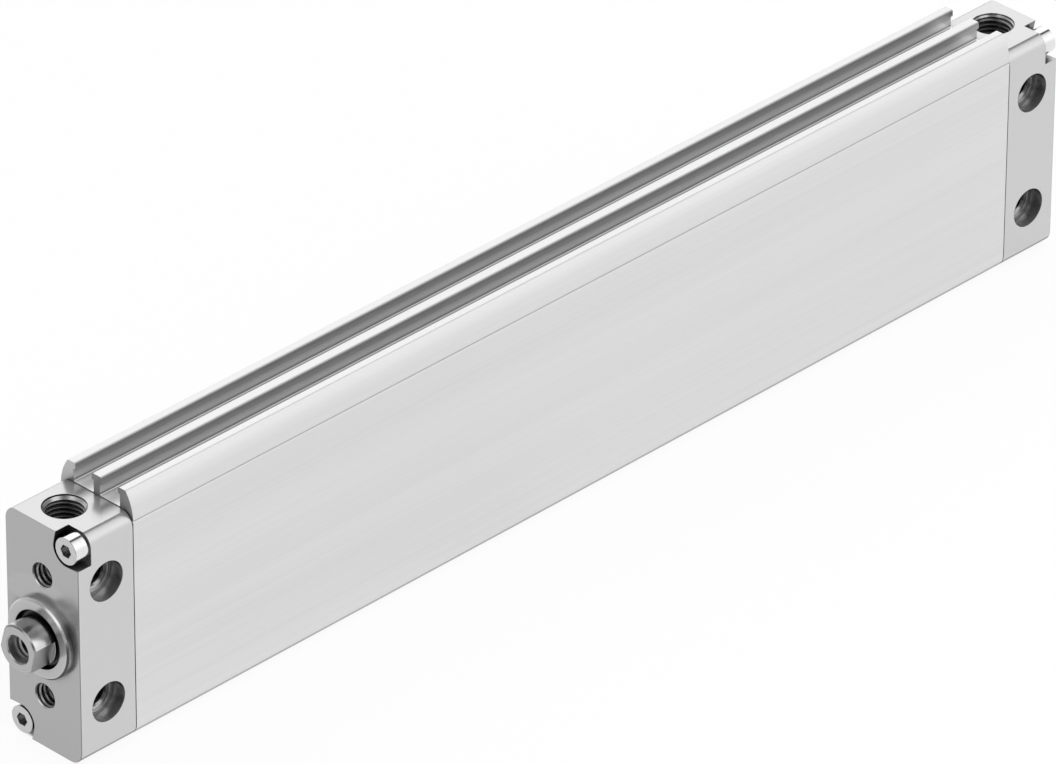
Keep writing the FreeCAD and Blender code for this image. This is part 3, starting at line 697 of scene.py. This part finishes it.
def bump(tree, height, base, depth, strength):
    made = add(tree, "ShaderNodeBump")
    made.inputs["Strength"].default_value = strength
    made.inputs["Distance"].default_value = depth
    join(tree, height, made.inputs["Height"])
    join(tree, base, made.inputs["Normal"])
    return made.outputs["Normal"]


def scratched(tree, height, scratch, amount):
    """A surface's height with the scratches cut into it."""
    return math_node(tree, "SUBTRACT", height, product(tree, scratch, amount))


def cover(tree, shader, colour, rough, normal):
    join(tree, colour, shader.inputs["Base Color"])
    join(tree, rough, shader.inputs["Roughness"])
    join(tree, normal, shader.inputs["Normal"])


CAP_SIDE = (0.583, 0.603)


def extruded_finish():
    """Satin aluminium of the barrel, with the die's lines along it and ends cut by the saw, painted darker as
    shade. Painted shade falls under it and in recesses, and painted light and shade in its slots.
    """
    finish, tree, shader = new_finish("extruded_satin_aluminium", Metallic=0.85)
    lines = effect(tree, "lines")
    marks = effect(tree, "handling", Smudge_Size=22.0, Scratch_Amount=0.35)
    corners = effect(tree, "corners", Radius=0.00010)
    recess = effect(tree, "recess", Clear=0.95, Darkest=0.15)
    ends = effect(tree, "ends", Facing=surface_facing(tree))
    slots = effect(tree, "slots")
    drawn = tint(tree, 0.678, 0.728, lines["Lines"])
    drawn = shade(tree, drawn, spread(tree, lines["Bands"], 0.985, 1.015))
    # The end faces are painted darker than the sides: painted shade.
    barrel_end_shade = tint(tree, 0.47, 0.53, marks["Smudge"])
    colour = blend(tree, ends["End"], drawn, barrel_end_shade)
    # Painted shade on undersides and in recesses, and painted light and shade in the slots.
    colour = shade(tree, colour, between(tree, ends["Under"], 1.0, 0.45), slots["Light"], recess["Open"])
    satin = spread(tree, lines["Lines"], 0.31, 0.39)
    rough = math_node(tree, "ADD", satin, spread(tree, marks["Smudge"], -0.02, 0.02))
    height = scratched(tree, lines["Lines"], marks["Scratch"], 0.3)
    cover(tree, shader, colour, rough, bump(tree, height, corners["Normal"], depth=4e-6, strength=0.5))
    return finish


def machined_finish():
    """Satin aluminium of the caps: sides and ends cut by milling, a turned collar and bored holes. Painted
    shade darkens end faces, broken edges, undersides and recesses, and painted light and shade tone the
    collar, pockets, ports' mouths and counterbores.
    """
    finish, tree, shader = new_finish("machined_satin_aluminium", Metallic=0.85)
    grain = effect(tree, "grain")["Grain"]
    rings = effect(tree, "rings", Fineness=2600.0)
    bored = effect(tree, "bored")
    collar = effect(tree, "collar")
    mouths = effect(tree, "mouths")
    pockets = effect(tree, "pockets")
    marks = effect(tree, "handling", Smudge_Size=60.0, Scratch_Amount=0.3)
    corners = effect(tree, "corners", Radius=0.0002)
    recess = effect(tree, "recess", Clear=0.93, Darkest=0.05)
    ends = effect(tree, "ends", Facing=surface_facing(tree))
    rims = effect(tree, "ends", Facing=effect(tree, "corners", Radius=0.0004)["Normal"])
    sides = tint(tree, *CAP_SIDE, grain)
    # Painted shade: broken edges of the sides are dark lines, end faces and the collar's face are darker than
    # the sides, and the counterbore floors' tool rings carry painted shade by the wall.
    edges = tint(tree, 0.15, 0.19, grain)
    end_face_shade = tint(tree, 0.407, 0.427, grain)
    turned = tint(tree, 0.47, 0.51, rings["Rings"])
    floors = tint(tree, 0.02, 0.98, bored["Rings"], low=0.0, high=1.0)
    colour = blend(tree, ends["Side Edge"], sides, edges)
    colour = blend(tree, ends["End"], colour, blend(tree, ends["Raised"], end_face_shade, turned))
    colour = blend(tree, bored["Floor"], colour, floors)
    # Painted shade under the cap, on broken edges, at the holes' lips and in recesses; painted light in the
    # counterbores, around the collar and in the open notch; painted light and shade in the screw pockets.
    under = between(tree, ends["Under"], 1.0, 0.22)
    broken = between(tree, rims["Side Edge"], 1.0, 0.4)
    lit = product(tree, bored["Inside"], between(tree, bored["Floor"], 0.25, 0.90))
    openness = math_node(tree, "MAXIMUM", recess["Open"], lit)
    openness = product(tree, openness, between(tree, bored["Lip"], 1.0, 0.75))
    openness = math_node(tree, "MAXIMUM", openness, product(tree, collar["Lifted"], COLLAR_LIFT))
    openness = math_node(tree, "MAXIMUM", openness, pockets["Notch"])
    openness = mix_values(tree, pockets["Sunk"], openness, pockets["Sunk Light"])
    colour = shade(tree, colour, under, broken, collar["Light"], mouths["Light"], bored["Light"], openness)
    smudged = spread(tree, marks["Smudge"], -0.015, 0.015)
    satin = math_node(tree, "ADD", spread(tree, grain, 0.20, 0.24), smudged)
    polish = between(tree, ends["Raised"], 0.0, -0.02)
    rough = math_node(tree, "ADD", satin, polish)
    height = scratched(tree, grain, marks["Scratch"], 0.5)
    cover(tree, shader, colour, rough, bump(tree, height, corners["Normal"], depth=4e-7, strength=0.3))
    return finish


def tapped_finish(name, dark, pale, clear, darkest):
    """Bare aluminium of a tapped thread, toned darker than the cap as painted shade, with a lead-in like the
    cap around it; painted shade in the hole and on the cone's darker side.
    """
    finish, tree, shader = new_finish(name, Metallic=0.85)
    grain = effect(tree, "grain")["Grain"]
    marks = effect(tree, "handling", Smudge_Size=400.0)
    corners = effect(tree, "corners", Radius=0.00005)
    recess = effect(tree, "recess", Closed=0.0, Clear=clear, Darkest=darkest)
    mouths = effect(tree, "mouths")
    cone = tint(tree, *CAP_SIDE, grain)
    colour = blend(tree, mouths["Lead"], tint(tree, dark, pale, marks["Smudge"]), cone)
    colour = shade(tree, colour, mouths["Light"], recess["Open"])
    rough = spread(tree, marks["Smudge"], 0.24, 0.30)
    cover(tree, shader, colour, rough, bump(tree, grain, corners["Normal"], depth=4e-7, strength=0.3))
    return finish


def turned_finish(
    name, dark, pale, rough, end_share=1.0, fineness=1800.0, depth=1e-6, clear=0.55, darkest=0.08,
    shoulder_open=0.0, shoulder_light=1.0,
):
    """Turned or ground metal: rings on its ends, fine lines around its sides, painted shade on broken edges,
    end faces and in recesses, and painted light and shade on the rod's spanner flats and end shoulder.
    """
    finish, tree, shader = new_finish(name, Metallic=1.0)
    rings = effect(tree, "rings", Fineness=fineness)
    ground = effect(tree, "lines", Fine=(2600.0, 40.0, 40.0), Broad=(500.0, 20.0, 20.0), Fine_Share=0.7)
    marks = effect(tree, "handling", Smudge_Size=90.0, Scratch_Amount=0.4)
    corners = effect(tree, "corners", Radius=0.0001)
    recess = effect(tree, "recess", Closed=0.05, Clear=clear, Darkest=darkest)
    ends = effect(tree, "ends", Facing=surface_facing(tree))
    flats = effect(tree, "flats", Shoulder=shoulder_light)
    pattern = mix_values(tree, ends["End"], ground["Lines"], rings["Rings"])
    edge_tone = between(tree, ends["Edge"], 1.0, 0.5)
    end_tone = between(tree, ends["End"], 1.0, end_share)
    openness = math_node(tree, "MAXIMUM", recess["Open"], product(tree, ends["Shoulder"], shoulder_open))
    colour = shade(tree, tint(tree, dark, pale, pattern), edge_tone, end_tone, flats["Light"], openness)
    cut = between(tree, math_node(tree, "MAXIMUM", flats["Flat"], ends["Bore"]), 0.0, 0.16)
    worn = math_node(tree, "ADD", product(tree, marks["Scratch"], 0.1), cut)
    roughness = math_node(tree, "ADD", spread(tree, marks["Smudge"], *rough), worn)
    height = scratched(tree, pattern, marks["Scratch"], 0.4)
    cover(tree, shader, colour, roughness, bump(tree, height, corners["Normal"], depth, strength=0.5))
    return finish


def moulded_finish(name, dark, pale, rough, grain):
    """Rubber, plastic or ferrite as it leaves the mould."""
    finish, tree, shader = new_finish(name)
    smudge = effect(tree, "handling", Smudge_Size=grain)["Smudge"]
    corners = effect(tree, "corners", Radius=0.0001)
    colour = tint(tree, dark, pale, smudge)
    normal = bump(tree, smudge, corners["Normal"], depth=2e-5, strength=0.4)
    cover(tree, shader, colour, spread(tree, smudge, *rough), normal)
    return finish


FINISHES = {
    "barrel_aluminium": extruded_finish(),
    "cap_aluminium": machined_finish(),
    # The threads' dark tones are painted shade in their holes, darkest in the ports.
    "tapped_aluminium": tapped_finish("tapped_aluminium", 0.30, 0.35, clear=0.8, darkest=0.05),
    "port_aluminium": tapped_finish("port_aluminium", 0.21, 0.24, clear=0.9, darkest=0.08),
    # end_share darkens end faces as painted shade; shoulder_open and shoulder_light paint the rod end's
    # shoulder lighter.
    "screw_steel": turned_finish(
        "plated_screw_steel", 0.75, 0.81, rough=(0.09, 0.12), end_share=0.69, fineness=1500.0, depth=2e-7,
        clear=0.45, darkest=0.30,
    ),
    "rod_steel": turned_finish(
        "ground_rod_steel", 0.62, 0.70, rough=(0.18, 0.24), end_share=0.66, fineness=2600.0,
        clear=0.60, darkest=0.22, shoulder_open=0.85, shoulder_light=1.45,
    ),
    "nut_steel": turned_finish("nut_steel", (0.50, 0.50, 0.49), (0.60, 0.60, 0.59), rough=(0.25, 0.35)),
    "piston_aluminium": turned_finish(
        "piston_aluminium", (0.68, 0.68, 0.69), (0.76, 0.76, 0.77), rough=(0.28, 0.36),
    ),
    "bush_bronze": turned_finish("bush_bronze", (0.48, 0.33, 0.17), (0.58, 0.41, 0.22), rough=(0.30, 0.40)),
    "magnet_ferrite": moulded_finish(
        "magnet_ferrite", (0.035, 0.035, 0.037), (0.06, 0.06, 0.062), rough=(0.45, 0.6), grain=900.0,
    ),
    "seal_rubber": moulded_finish(
        "seal_rubber", (0.024, 0.024, 0.025), (0.040, 0.040, 0.041), rough=(0.42, 0.58), grain=1200.0,
    ),
    "buffer_rubber": moulded_finish(
        "buffer_rubber", (0.014, 0.014, 0.015), (0.026, 0.026, 0.027), rough=(0.5, 0.65), grain=1000.0,
    ),
    "band_plastic": moulded_finish(
        "band_plastic", (0.55, 0.53, 0.47), (0.63, 0.61, 0.55), rough=(0.4, 0.5), grain=700.0,
    ),
}


def dress_nodes():
    for node in nodes.values():
        for slot in node.material_slots:
            slot_name = slot.material.name.split(".")[0]
            slot.material = FINISHES[slot_name]


# Threads cut in the plain holes.
def spin_profile(shape, points, **turn):
    """Spins a closed profile, given as radius and height, about the hole's axis."""
    verts = [shape.verts.new((radius, 0, level)) for radius, level in points]
    edges = [shape.edges.new((verts[i - 1], verts[i])) for i in range(len(verts))]
    bmesh.ops.spin(shape, geom=verts + edges, cent=(0, 0, 0), axis=(0, 0, 1), **turn)


def keep_under_mouth(shape, cut, sink):
    """Presses what stands in the mouth against its cone and rim."""
    for vert in shape.verts:
        vert.co.z = min(vert.co.z, -sink)
        cone = cut.mouth - max(-vert.co.z - cut.rim, 0.0) + sink / 4
        radius = vert.co.xy.length
        wanted = min(max(radius, cone), cut.mouth + sink)
        vert.co.xy *= wanted / radius


def make_thread(name, mouth, inward, sizes, body, finish_name, start_turn=0.0):
    cut = Thread(*(value * MM for value in sizes))
    sink = THREAD_SINK * MM
    wall = cut.major + sink
    foot = cut.pitch * RIDGE_FOOT
    crest = cut.pitch * RIDGE_CREST
    cone_end = cut.rim + cut.mouth - cut.lead
    start = (cone_end if cut.lead else cut.mouth - cut.major) + foot + crest
    turns = (cut.depth - start - foot) / cut.pitch
    steps = round(turns * STEPS_PER_TURN)
    shape = bmesh.new()
    ridge = [
        (wall, -start - foot),
        (cut.minor, -start - crest),
        (cut.minor, -start + crest),
        (wall, -start + foot),
    ]
    drop = (0, 0, -turns * cut.pitch / steps)
    spin_profile(shape, ridge, dvec=drop, angle=-math.tau * turns, steps=steps, use_merge=False)
    open_ends = [edge for edge in shape.edges if len(edge.link_faces) == 1]
    bmesh.ops.holes_fill(shape, edges=open_ends, sides=0)
    keep_under_mouth(shape, cut, sink)
    if cut.lead:
        lead = [
            (wall, -cut.rim - cut.mouth + wall),
            (cut.lead, -cone_end),
            (cut.lead, -cone_end - crest),
            (wall, -cone_end - foot),
        ]
        spin_profile(shape, lead, angle=math.tau, steps=STEPS_PER_TURN, use_merge=True)
    bmesh.ops.remove_doubles(shape, verts=shape.verts, dist=WELD_DISTANCE)
    bmesh.ops.recalc_face_normals(shape, faces=shape.faces)
    for face in shape.faces:
        face.smooth = True
    for edge in shape.edges:
        edge.smooth = edge.calc_face_angle(0.0) < CREASE_ANGLE
    turn = Vector(inward).to_track_quat("-Z", "Y").to_matrix().to_4x4()
    turn = turn @ Matrix.Rotation(math.tau * start_turn, 4, "Z")
    bmesh.ops.transform(shape, matrix=Matrix.Translation(Vector(mouth) * MM) @ turn, verts=shape.verts)
    piece = new_piece(name, shape, FINISHES[finish_name])
    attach(piece, body)


def make_threads():
    down = (0, 0, -1)
    for end, place, sizes, start_turn in (
        ("front", FRONT_X - HOLE_X, PORT_THREAD, 0.0),
        ("rear", REAR_X + HOLE_X, REAR_PORT_THREAD, REAR_PORT_START),
    ):
        make_thread(
            f"{end}_port_thread", (place, PORT_Y, CAP_TOP), down, sizes,
            "cylinder", "port_aluminium", start_turn,
        )
    for end, place, inward in (("front", FRONT_X, (-1, 0, 0)), ("rear", REAR_X, (1, 0, 0))):
        for level, height in (("upper", HOLE_Z), ("lower", -HOLE_Z)):
            make_thread(
                f"{end}_face_thread_{level}", (place, 0, height), inward, FACE_THREAD,
                "cylinder", "tapped_aluminium",
            )
    make_thread(
        "rod_end_thread", (ROD_RELIEF_X, 0, 0), (-1, 0, 0), ROD_THREAD, "rod", "rod_steel",
    )


# Floor, lamp and the studio around the object. The floor is dark where the object stands on it, a painted
# shadow:
# it turns white between these distances from the object's middle, sideways and along it, in millimetres.
FLOOR_SIZE = 6.0
FLOOR_GLOW = 0.9
STAND_ASIDE = (HALF_WIDTH - 3.5, HALF_WIDTH - 2.2)
STAND_ENDS = (HALF_LENGTH - 1.5, HALF_LENGTH - 0.3)


def seen_rays(tree):
    """Rays from the camera, and those that a mirror or a clear piece sends on."""
    path = add(tree, "ShaderNodeLightPath")
    mirrored = math_node(tree, "MAXIMUM", path.outputs["Is Glossy Ray"], path.outputs["Is Transmission Ray"])
    return path.outputs["Is Camera Ray"], mirrored


def floor_light(tree):
    """White where the floor is open, with a painted shadow under the object; metal shows the same white
    floor.
    """
    spot = split(tree, place_on_piece(tree))
    clear_aside = length_step(tree, size_of(tree, spot["Y"]), *STAND_ASIDE)
    clear_ahead = length_step(tree, from_middle(tree, spot["X"]), *STAND_ENDS)
    clear = math_node(tree, "MAXIMUM", clear_aside, clear_ahead)
    seen = math_node(tree, "MAXIMUM", *seen_rays(tree))
    return product(tree, clear, seen, FLOOR_GLOW)


def make_floor():
    paper, tree, shader = new_finish("white_paper", Roughness=0.9, Specular_IOR_Level=0.0)
    grain = noise(tree, place_on_piece(tree), scale=400.0)
    join(tree, tint(tree, 0.92, 0.94, grain), shader.inputs["Base Color"])
    glow = add(tree, "ShaderNodeEmission")
    glow.inputs["Strength"].default_value = 1.0
    mixed = add(tree, "ShaderNodeMixShader")
    join(tree, floor_light(tree), mixed.inputs["Fac"])
    join(tree, shader.outputs["BSDF"], mixed.inputs[1])
    join(tree, glow.outputs["Emission"], mixed.inputs[2])
    join(tree, mixed.outputs["Shader"], tree.nodes["Material Output"].inputs["Surface"])
    shape = bmesh.new()
    bmesh.ops.create_grid(shape, x_segments=1, y_segments=1, size=FLOOR_SIZE / 2)
    bmesh.ops.translate(shape, verts=shape.verts, vec=(box_middle.x, box_middle.y, cad_box[0].z))
    floor = new_piece("studio_floor", shape, paper)
    floor.visible_shadow = False


# Brightness of the studio by the angle about the cylinder's length:
# 0 is the horizon on the near side, 0.5 is overhead and 1 is the far horizon.
STUDIO_TONES = [
    (0.00, 1.00),
    (0.18, 1.36),
    (0.36, 1.15),
    (0.44, 0.85),
    (0.467, 0.50),
    (0.489, 0.10),
    (0.561, 0.08),
    (0.572, 1.15),
    (0.66, 1.37),
    (0.85, 1.37),
    (1.00, 0.80),
]
STUDIO_FRONT = 0.30
FRONT_EDGE = (-0.1, 0.6)
WINDOW_TOWARD = (0.78, 0.15, 0.60)
WINDOW_EDGE = (0.88, 0.97)
WINDOW_LIGHT = 1.25
CARD_TOWARD = (0.376, 0.366, 0.851)
CARD_EDGE = (0.92, 0.98)
CARD_SHADE = 0.9


def make_studio():
    world = bpy.data.worlds.new("studio")
    bpy.context.scene.world = world
    world.use_nodes = True
    tree = world.node_tree
    sky = tree.nodes["Background"]
    direction = add(tree, "ShaderNodeTexCoord").outputs["Generated"]
    way = split(tree, direction)
    angle = math_node(tree, "ARCTAN2", way["Z"], way["Y"])
    tone = ramp(tree, math_node(tree, "DIVIDE", angle, math.pi), STUDIO_TONES)
    front = soft_step(tree, way["X"], *FRONT_EDGE)
    walls = product(tree, tone, between(tree, front, 1.0, STUDIO_FRONT))
    to_window = toward(tree, direction, Vector(WINDOW_TOWARD).normalized())
    to_card = toward(tree, direction, Vector(CARD_TOWARD).normalized())
    window = product(tree, soft_step(tree, to_window, *WINDOW_EDGE), WINDOW_LIGHT)
    card = between(tree, soft_step(tree, to_card, *CARD_EDGE), 1.0, 1.0 - CARD_SHADE)
    level = product(tree, math_node(tree, "ADD", walls, window), card)
    above = math_node(tree, "GREATER_THAN", way["Z"], 0.0)
    direct, mirrored = seen_rays(tree)
    level = mix_values(tree, above, mirrored, level)
    join(tree, mix_values(tree, direct, level, 1.0), sky.inputs["Strength"])
    sky.inputs["Color"].default_value = paint(1.0)


def make_lamp(name, direction, reach, size, power):
    data = bpy.data.lights.new(name, "AREA")
    data.shape = "DISK"
    data.size = size
    data.energy = power
    lamp = new_object(name, data)
    away = Vector(direction).normalized()
    turn = away.to_track_quat("Z", "Y").to_matrix().to_4x4()
    lamp.matrix_world = Matrix.Translation(box_middle + away * reach) @ turn
    lamp.visible_glossy = False


def make_scene():
    set_camera()
    dress_nodes()
    make_threads()
    make_floor()
    make_studio()
    make_lamp("key_lamp", direction=(0.15, 0.62, 0.77), reach=2.0, size=0.7, power=12.0)
    bpy.context.scene.view_settings.view_transform = "Standard"


make_scene()
